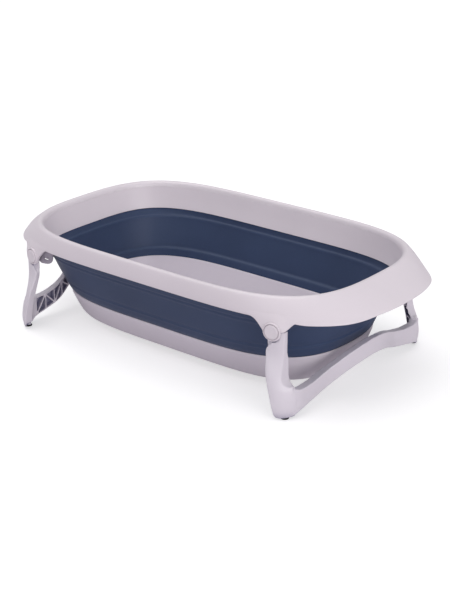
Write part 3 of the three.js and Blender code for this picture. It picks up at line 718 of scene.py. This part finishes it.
# plan curves of the arm at each height, as (x, distance to the front)
LEG_Z = [0, 22, 48, 75, 120, 170]
LEG_OUT = [
    [(240, 219.5), (270, 219.5), (285, 219.5), (294, 219),
     (304.5, 215.5), (313, 209.5), (319.5, 201), (324, 191)],
    [(240, 223), (270, 223), (285, 223), (295, 222.5), (306, 219), (315, 212.5), (322, 203), (326.5, 192)],
    [(240, 222), (270, 222), (285, 222), (293.5, 221.3),
     (302, 218.5), (311, 211.8), (318.5, 203), (325.5, 191)],
    [(240, 219.5), (270, 219.5), (285, 219.5), (292, 217.5),
     (300, 212), (306, 205), (310, 197), (313, 188)],
    [(240, 209), (262, 208.6), (274, 207.8), (284, 206.6),
     (295, 203.8), (303, 199.6), (309, 193.6), (313, 186)],
]
LEG_IN = [
    [(240, 206), (270, 206), (282, 205.5), (289, 203.5), (295, 200), (300.5, 195), (305, 189), (308, 182)],
    [(240, 208), (270, 208), (283, 207.5), (291, 206), (298, 203), (304, 198), (308.5, 192), (312, 184)],
    [(240, 207.5), (270, 207.5), (282, 207), (289, 205.5),
     (295.5, 202.5), (301.5, 197.5), (306.5, 191.5), (310.5, 183.5)],
    [(240, 205.5), (270, 205.5), (280, 205), (286, 203.5),
     (292, 200.5), (297, 196), (300, 191), (302, 184)],
    [(240, 198.9), (262, 198.9), (274, 198.9), (284, 198.9),
     (297, 198.9), (301, 195.4), (303.5, 190), (305.5, 184)],
]
for table in (LEG_OUT, LEG_IN):
    table.append(table[-1])  # the top two heights are alike

# front view of the arm, as (x, z): outboard edge downwards, foot, inboard edge upwards
ARM_OUTBOARD = [(304.8, 152.4), (304.6, 140), (304.2, 120), (304.4, 100), (304.8, 84),
                (305.8, 72), (308.6, 63.5), (314.5, 58)]
ARM_FOOT = [(330, 55.5), (330, 8)]
ARM_INBOARD = [(322, 3.6), (312, 2.9), (303.5, 3.4), (299.6, 8.5), (297.2, 20), (292.8, 38),
               (288, 54), (283.4, 70), (279.4, 86), (275.8, 103)]
ARM_NECK = [(273.6, 112), (273.4, 119.5), (272.6, 135)]
# lower edge of the step in the arm's front
STEP_EDGE = [(273.9, 118.2), (274.8, 121.2), (277.4, 124.6), (280.6, 128.2), (283.2, 131.4)]
POCKETS = (  # (x, z) loops
    [(279.0, 111), (303.2, 111), (303.2, 98), (280.6, 87.5)],
    [(281.4, 84.5), (303.2, 94.6), (303.8, 75), (285.6, 70)],
    [(286.2, 67.4), (304.4, 72.4), (308, 62), (313, 55), (313, 51.6), (291.6, 49)],
    [(292.4, 46.2), (313, 48.6), (313, 30), (297.6, 26)],
    [(298.6, 23), (313, 26.6), (313, 14.4), (301.4, 14.4)],
)
FOOT_POCKET = [(296, -1), (334, -1), (334, 11.4), (296, 11.4)]
STEM_PROFILE = [(0, 2.9), (6.3, 2.9), (6.3, 4.2), (5.3, 5.4), (4.9, 12.6), (0, 12.6)]

# half of the bar's plan, as (x, distance to the front)
BAR_OUT = [(324.2, 196), (326.5, 188), (328, 176), (328, 150), (328.5, 120), (331, 100),
           (335, 85), (342.5, 60), (349, 30), (351, 0)]
BAR_IN = [(308, 193), (311.5, 185), (313, 176), (313, 150), (314.5, 120), (318.5, 100),
          (323, 85), (330.5, 60), (337, 30), (339, 0)]
# half of the bar's lower and upper edges, as (distance from the middle, z)
EDGE_LOW = [(200, 4), (190, 7.5), (176, 12), (145, 18.5), (120, 24), (100, 30), (85, 36),
            (60, 46), (30, 54), (0, 57)]
EDGE_HIGH = [(200, 58), (190, 53.2), (176, 49.5), (145, 50.5), (120, 55.5), (100, 61.5),
             (85, 67), (60, 77), (30, 85), (0, 88)]
BAR_TOP = 120  # above the whole bar
RIB_CELLS, RIB_SPAN, RIB_HALF = 14, 352.0, 1.15  # cells along y, their length, half a rib


def both_sides(curve, mirror):
    """A half curve that ends on the middle line, run on through its mirror image."""
    return np.concatenate([curve * mirror, curve[:-1][::-1]])


def leg_rows(skin=False):
    """Arm sections; with skin, the room inside the outer skin instead."""
    heights = np.concatenate([np.linspace(0, 118, 26), np.linspace(124, 170, 6)])
    outers, inners = pchip(LEG_Z, LEG_OUT, heights), pchip(LEG_Z, LEG_IN, heights)
    rows = []
    for z, outer, inner in zip(heights, outers, inners):
        outer, inner = catmull(outer, 5), catmull(inner, 5)
        if skin:
            plan = [inset(outer, SKIN), [[313, 120], [236, 120]]]
        else:
            plan = [outer, inner[::-1]]
        rows.append((z, np.concatenate(plan)))
    return rows


def build_arm():
    silhouette = np.concatenate([
        catmull(ARM_OUTBOARD, 4), ARM_FOOT, catmull(ARM_INBOARD, 4), ARM_NECK,
        arc(PIVOT_X, PIVOT_Z, 12.4, 190, 16, 24), [(298.4, 152.4)]])
    arm = boolean(loft(leg_rows()), prism(silhouette, "y", *ARM_Y), "INTERSECT")
    # above the step the arm is set back behind the bracket's boss
    step = np.concatenate([
        [(255, 118.2)], catmull(STEP_EDGE, 5), arc(284.3, 150.4, 18.0, 269, 368, 26),
        [(301.6, 175), (255, 175)]])
    boolean(arm, prism(step, "y", -230, -202.3), "DIFFERENCE")

    loops = [clip_corners(loop, 0.12) for loop in POCKETS] + [FOOT_POCKET]
    pockets = join("tmp", [prism(loop, "y", *ARM_Y) for loop in loops])
    boolean(pockets, loft(leg_rows(skin=True)), "INTERSECT")
    boolean(arm, pockets, "DIFFERENCE")
    hole = arc(PIVOT_X, PIVOT_Z, 4.15, 0, 360 - 360 / 32, 31)
    return boolean(arm, prism(hole, "y", -230, -190), "DIFFERENCE")


def rib_openings(low, high):
    """Pairs of triangles that leave slanted and upright ribs between the bar's edges."""
    def bottom(y):
        return float(np.interp(abs(y), low[::-1, 0], low[::-1, 1])) + SKIN

    def top(y):
        return float(np.interp(abs(y), high[::-1, 0], high[::-1, 1])) - SKIN

    half, slant = RIB_HALF, 2.8 * RIB_HALF
    openings = []
    for cell in range(RIB_CELLS):
        start = -RIB_SPAN / 2 + cell * RIB_SPAN / RIB_CELLS
        end = start + RIB_SPAN / RIB_CELLS
        if cell % 2 == 0:
            triangles = [
                [(start + half, bottom(start) + half * 2), (end - slant, top(end)),
                 (start + half, top(start))],
                [(start + slant, bottom(start)), (end - half, bottom(end)),
                 (end - half, top(end) - half * 2)]]
        else:
            triangles = [
                [(start + slant, top(start)), (end - half, bottom(end) + half * 2),
                 (end - half, top(end))],
                [(start + half, bottom(start)), (end - slant, bottom(end)),
                 (start + half, top(start) - half * 2)]]
        openings += [prism(triangle, "x", 280, 360) for triangle in triangles]
    return join("tmp", openings)


def build_bar():
    outer, inner, low, high = [catmull(curve, 5) for curve in (BAR_OUT, BAR_IN, EDGE_LOW, EDGE_HIGH)]
    plan = np.concatenate([both_sides(outer, (1, -1)), both_sides(inner, (1, -1))[::-1]])
    bar = prism(plan, "z", 0, BAR_TOP)
    side = np.concatenate([both_sides(low, (-1, 1)), both_sides(high, (-1, 1))[::-1]])
    boolean(bar, prism(side, "x", 286, 360), "INTERSECT")
    openings = rib_openings(low, high)
    within = np.concatenate([both_sides(inset(outer, SKIN), (1, -1)), [[286, 200], [286, -200]]])
    boolean(openings, prism(within, "z", 0, BAR_TOP), "INTERSECT")
    return boolean(bar, openings, "DIFFERENCE")


def build_leg():
    arm = build_arm()
    stem = lathe("tmp", STEM_PROFILE, FOOT_CENTRE, segments=40)
    back_arm, back_stem = copy_of(arm, "tmp", 1, -1), copy_of(stem, "tmp", 1, -1)
    leg = join("leg_right_shell", [arm, back_arm, stem, back_stem, build_bar()])
    # one skin over all the parts, with its edges softened
    remesh = leg.modifiers.new("r", "REMESH")
    remesh.mode, remesh.voxel_size, remesh.adaptivity = "VOXEL", LEG_VOXEL * MM, 0.0
    soften = leg.modifiers.new("s", "SMOOTH")
    soften.factor, soften.iterations = 0.5, 5
    bake(leg)
    smooth(leg, None)
    return leg


leg_right = build_leg()
leg_left = copy_of(leg_right, "leg_left_shell", -1, 1)
smooth(leg_left, None)
finish_piece(leg_right, "leg_right", LEG, "leg_frame_right")
finish_piece(leg_left, "leg_left", LEG, "leg_frame_left")

# ------------------------------------------------------------------ brackets under the rim
# lower edge seen from the front, as (x, z), either side of the round boss
BRACKET_INBOARD = [(224, 173.2), (231, 172.2), (238, 171.6), (244, 170.4), (250, 167.6),
                   (255.4, 163.4), (260.4, 158.2), (265, 153.0), (268.2, 148.2), (269.7, 145.4)]
BRACKET_OUTBOARD = [(300.4, 152.7), (302.6, 153.0), (305.4, 154.2), (308.6, 157.6),
                    (312.4, 163.0), (316.4, 167.0), (321, 170.4), (326, 173.0)]
# distance to the front of the outer face at its lower edge, by x
BRACKET_LOW_X = [222, 231, 240, 252, 262, 272, 284.5, 292, 300, 303, 308, 314, 320, 328, 336]
BRACKET_LOW_Y = [213.8, 212.6, 211.6, 210.4, 209.6, 208.8, 207.0, 205.5, 203.6, 202.2, 198.6,
                 193.4, 188.8, 183.6, 177.4]
BRACKET_TOP = 184.0
BRACKET_WALL = 1.05  # least thickness
SHOULDER, LIP = 1.1, 0.5  # how far the outer and inner faces start above the lower edge


def bracket_outer(x, z):
    """Outer face: from its own line at the bottom to the rim's face at the top."""
    outboard = ease(x, 288, 314)
    share = ease(z, 156 - 5 * outboard, 183 - 11 * outboard)
    level = z  # height on the rim before it hung, found by iteration
    for _ in range(4):
        level = z + corner_droop(x, level)
    top = rim_y(x, max(level, RIM_FACE_LOW))
    low = float(np.interp(x, BRACKET_LOW_X, BRACKET_LOW_Y))
    return low * (1 - share) + (top - 0.5 * np.clip((z - 174) / 8, 0, 1) + 0.3) * share


def bracket_inner(x, z):
    if x > 300.3:
        return min(bracket_outer(x, z) - 2.4, 200.5)
    return 202.5 if z < 168.4 else 197.0


def build_bracket():
    edge = np.concatenate([
        catmull(BRACKET_INBOARD, 4)[:-1], arc(284.3, 150.6, 16.0, 198, 367, 30),
        catmull(BRACKET_OUTBOARD, 4)[1:]])
    upward = left_normals(edge)  # into the bracket
    shoulder, lip = edge + upward * SHOULDER, edge + upward * LIP
    shoulder_y = [bracket_outer(x, z) for x, z in shoulder]
    rows = []
    # outer face from the top down
    for part in np.linspace(0, 1, 15):
        start = np.stack([edge[:, 0], np.full(len(edge), BRACKET_TOP)], 1)
        rows.append([(x, -bracket_outer(x, z), z) for x, z in start + (shoulder - start) * part])
    # rounded lower edge, as (height above the edge, step in from the face)
    for rise, step in ((0.55, 0.14), (0.2, 0.42), (0.0, 0.95)):
        rows.append([(x, -(y - step), z) for (x, z), y in zip(edge + upward * rise, shoulder_y)])
    for rise, step in ((0.0, 0.24), (LIP, 0.0)):
        rows.append([
            (x + up_x * rise, -(min(bracket_inner(x, z), y - BRACKET_WALL) + step), z + up_z * rise)
            for (x, z), (up_x, up_z), y in zip(edge, upward, shoulder_y)])
    # inner face back up
    for part in (0.35, 0.7, 1.0):
        end = np.stack([edge[:, 0], np.full(len(edge), BRACKET_TOP)], 1)
        rows.append([(x, -min(bracket_inner(x, z), bracket_outer(x, z) - BRACKET_WALL), z)
                     for x, z in lip + (end - lip) * part])
    strips = ring_rows(len(rows), len(edge))
    faces = []
    for low, high in zip(strips, strips[1:] + strips[:1]):
        faces += ring_quads(low, high)[:-1]  # the strips are open at their ends
    faces += [[strip[0] for strip in strips], [strip[-1] for strip in strips][::-1]]
    return new_mesh("tmp", [point for row in rows for point in row], faces, 42)


# ------------------------------------------------------------------ corner hardware
CAP_TURN = math.radians(11.0)
CAP_CENTRE = (284.2, -207.1, 151.4)
# profiles of (radius, distance to the front); the cap's and collar's from CAP_CENTRE
COLLAR_PROFILE = [(13.75, -3.4), (16.0, -3.4), (15.95, 0.35), (15.3, 1.15), (14.2, 1.35), (13.75, 0.9)]
CAP_PROFILE = [(0, -3.6), (12.6, -3.6), (12.7, 1.6), (11.9, 2.5), (9.4, 2.7), (8.9, 2.45), (0, 2.5)]
PIN_PROFILE = [
    (0, CHEEK_FACE - 2.1), (4.6, CHEEK_FACE - 1.9), (6.2, CHEEK_FACE - 1.1),
    (6.4, CHEEK_FACE - 0.1), (4.0, CHEEK_FACE - 0.1), (4.0, 206.2), (3.4, 206.7), (0, 206.7)]
PAD_PROFILE = [(0, 0), (6.9, 0), (7.4, 0.7), (7.3, 1.9), (6.4, 2.9), (3.4, 2.95), (3.4, 8.4), (0, 8.4)]
SCREW_INNER, SCREW_OUTER = (252, 175), (291.5, 165.4)  # x, z
# inboard edge of a left-hand cheek and of the slimmer right-hand one, as (x, z)
CHEEK_EDGE = [(241, 182.5), (238.4, 174), (237.5, 165), (238.0, 154), (241.0, 146.6),
              (246.5, 142.2), (255, 140), (268, 138.9)]
CHEEK_EDGE_SLIM = [(244, 182.5), (245.6, 176), (249.6, 170.4), (256, 165.0), (262, 158.6),
                   (267.4, 152.0), (271.4, 146.6)]
CHEEK_TOP = [(296.5, 158), (296.5, 170.6), (272, 170.6), (266, 182.5)]
CHEEK_SLOT = [(249, 148), (261, 148), (261, 155), (259, 155), (259, 150.6), (251, 150.6),
              (251, 155), (249, 155)]
CHEEK_CENTRE, CHEEK_HALF, CHEEK_BEVEL = 197.1, 1.05, 0.42


def cap_part(profile, corner_radius, angle):
    part = lathe("tmp", profile if corner_radius is None else profile, (0, 0, 0), axis="y",
                 segments=72, angle=angle, turn=CAP_TURN)
    part.data.transform(Matrix.Translation([value * MM for value in CAP_CENTRE]))
    return part


def build_screw(place, tip):
    """A screw along Y with a crossed slot in its head, which faces the middle."""
    x, z = place
    profile = [(0, CHEEK_FACE - 2.1), (2.2, CHEEK_FACE - 1.95), (3.2, CHEEK_FACE - 1.0),
               (3.4, CHEEK_FACE - 0.1), (1.5, CHEEK_FACE - 0.1), (1.5, tip - 0.6), (0.5, tip), (0, tip)]
    screw = lathe("tmp", rounded(profile, 0.2, 2), (x, 0, z), axis="y", segments=36)
    for wide, high in ((0.32, 1.9), (1.9, 0.32)):
        slot = [(x - wide, z - high), (x + wide, z - high), (x + wide, z + high), (x - wide, z + high)]
        boolean(screw, prism(slot, "y", -194.8, -190), "DIFFERENCE")
    smooth(screw, 35)
    return screw


def build_cheek(slim):
    """A bevelled plate behind the bracket, with holes for the pin and the two screws."""
    border = np.concatenate([
        catmull(CHEEK_EDGE_SLIM if slim else CHEEK_EDGE, 4),
        arc(PIVOT_X, PIVOT_Z, 12.4, 200 if slim else 218, 356, 24), CHEEK_TOP])
    loops = [border, arc(PIVOT_X, PIVOT_Z, 4.15, 0, 352, 40)]
    loops += [arc(*place, 1.62, 0, 345, 20) for place in (SCREW_INNER, SCREW_OUTER)]
    if not slim:
        loops.append(CHEEK_SLOT)
    curve = bpy.data.curves.new("cheek", "CURVE")
    curve.dimensions, curve.fill_mode = "2D", "BOTH"
    curve.extrude, curve.bevel_depth = CHEEK_HALF * MM, CHEEK_BEVEL * MM
    curve.bevel_resolution, curve.offset = 2, -CHEEK_BEVEL * MM
    for loop in loops:
        spline = curve.splines.new("POLY")
        spline.points.add(len(loop) - 1)
        for point, (x, z) in zip(spline.points, loop):
            point.co = (x * MM, z * MM, 0, 1)
        spline.use_cyclic_u = True
    flat = add_object("tmp", curve)
    bpy.context.view_layer.update()
    graph = bpy.context.evaluated_depsgraph_get()
    mesh = bpy.data.meshes.new_from_object(flat.evaluated_get(graph))
    drop(flat)
    # stand the plate up in the XZ plane
    mesh.transform(Matrix(((1, 0, 0, 0), (0, 0, -1, -CHEEK_CENTRE * MM), (0, 1, 0, 0), (0, 0, 0, 1))))
    weld(mesh)
    cheek = add_object("tmp", mesh)
    smooth(cheek, 35)
    return cheek


bracket = build_bracket()
collar = cap_part(rounded(COLLAR_PROFILE, 0.3, 3, closed=True), None, 40.0)
bracket = join("tmp", [bracket, collar])
cap = cap_part(rounded(CAP_PROFILE, 0.4, 3), None, 45)
pin = lathe("tmp", rounded(PIN_PROFILE, 0.35, 3), (PIVOT_X, 0, PIVOT_Z), axis="y", segments=48)
pad = lathe("tmp", rounded(PAD_PROFILE, 0.35, 3), FOOT_CENTRE, segments=56)
screw_inner = build_screw(SCREW_INNER, tip=203.8)
screw_outer = build_screw(SCREW_OUTER, tip=202.0)
cheek_left, cheek_right = build_cheek(slim=False), build_cheek(slim=True)

for corner, scale_x, scale_y in CORNERS:
    leg_body, cheek = ("leg_right", cheek_right) if scale_x > 0 else ("leg_left", cheek_left)
    # master, name, sharp angle, body, material, slot, CAD piece replaced
    for master, name, angle, body, mat, slot, replaced in (
        (bracket, "bracket_", 42, "frame", WHITE, "shell_white", None),
        (cap, "cap_", 45, "frame", WHITE, "shell_white", "pivot_cap_"),
        (pin, "pin_", 40, "frame", STEEL, "screw_steel", "pivot_pin_"),
        (cheek, "cheek_", 35, "frame", GREY, "hinge_grey", "hinge_cheek_"),
        (screw_inner, "screw_inner_", 35, "frame", STEEL, "screw_steel", "cheek_screw_inner_"),
        (screw_outer, "screw_outer_", 35, "frame", STEEL, "screw_steel", "cheek_screw_outer_"),
        (pad, "pad_", 40, leg_body, RUBBER, "foot_rubber", "foot_pad_"),
    ):
        part = copy_of(master, name + corner, scale_x, scale_y)
        smooth(part, angle)
        finish_piece(part, body, mat, replaced and replaced + corner)

for master in (bracket, cap, pin, pad, cheek_left, cheek_right, screw_inner, screw_outer):
    drop(master)


# ------------------------------------------------------------------ stage
def camera_ray(tree):
    return add_node(tree, "LightPath", {}).outputs["Is Camera Ray"]


def multiply_add(tree, value, factor, addend):
    inputs = {0: value, 1: factor, 2: addend}
    return add_node(tree, "Math", inputs, operation="MULTIPLY_ADD").outputs[0]


def build_floor():
    """Pale paper, brighter to the camera than to other rays, and clear from below."""
    half, z = 30.0, -0.0002  # metres
    mesh = bpy.data.meshes.new("floor")
    mesh.from_pydata([(-half, -half, z), (half, -half, z), (half, half, z), (-half, half, z)],
                     [], [(0, 1, 2, 3)])
    floor = add_object("floor", mesh)
    mat = bpy.data.materials.new("floor_paper")
    mat.use_nodes = True
    mesh.materials.append(mat)
    tree = mat.node_tree
    shader = tree.nodes["Principled BSDF"]
    seen = camera_ray(tree)
    tones = {0: seen, 6: (0.58, 0.55, 0.59), 7: (0.62, 0.62, 0.625)}  # other rays, camera
    feed_all(shader, {
        "Base Color": add_node(tree, "Mix", tones, data_type="RGBA").outputs[2],
        "Roughness": 0.95, "Specular IOR Level": 0.0, "Emission Color": (1, 1, 1),
        "Emission Strength": multiply_add(tree, seen, factor=0.42, addend=0.12)})
    below = add_node(tree, "NewGeometry", {}).outputs["Backfacing"]
    clear = add_node(tree, "BsdfTransparent", {}).outputs[0]
    pick = add_node(tree, "MixShader", {0: below, 1: shader.outputs[0], 2: clear})
    feed(tree.nodes["Material Output"].inputs["Surface"], pick.outputs[0])


def build_world():
    """A pale sky, at full strength only to the camera."""
    world = bpy.data.worlds.new("studio")
    world.use_nodes = True
    tree = world.node_tree
    strength = multiply_add(tree, camera_ray(tree), factor=0.56, addend=0.44)
    feed_all(tree.nodes["Background"], {"Color": (0.96, 0.95, 1.0), "Strength": strength})
    scene.world = world


def sun(name, direction, strength, angle, colour):
    """A sun shining along the direction; its angle is in degrees."""
    light = bpy.data.lights.new(name, "SUN")
    light.energy, light.angle, light.color = strength, math.radians(angle), colour
    obj = add_object(name, light)
    obj.rotation_euler = Vector(direction).to_track_quat("-Z", "Y").to_euler()


def build_camera(azimuth, elevation, distance, target, lens):
    """A camera aimed at the target; the azimuth runs from the front towards the right."""
    azimuth, elevation = math.radians(azimuth), math.radians(elevation)
    back = Vector((math.sin(azimuth) * math.cos(elevation),
                   -math.cos(azimuth) * math.cos(elevation), math.sin(elevation)))
    camera = bpy.data.cameras.new("camera")
    camera.sensor_width, camera.sensor_fit = 36.0, "AUTO"
    camera.lens = lens
    camera.clip_start, camera.clip_end = 0.05, 100
    obj = add_object("camera", camera)
    obj.location = (Vector(target) + back * distance) * MM
    obj.rotation_mode = "QUATERNION"
    obj.rotation_quaternion = (-back).to_track_quat("-Z", "Y")
    scene.camera = obj


build_floor()
build_world()
sun("overhead", (0.25, 0.14, -1.0), strength=1.36, angle=60, colour=(1.0, 0.985, 0.975))
sun("front_low", (-0.42, 0.90, -0.10), strength=0.29, angle=50, colour=(1.0, 0.985, 0.98))
sun("right_side", (-0.95, 0.26, -0.16), strength=1.30, angle=40, colour=(1.0, 0.975, 0.97))
build_camera(azimuth=39.14, elevation=22.243, distance=2514.225,
             target=(21.715, -4.971, 76.486), lens=80.02536)
scene.view_settings.view_transform = "Standard"
scene.view_settings.look = "None"
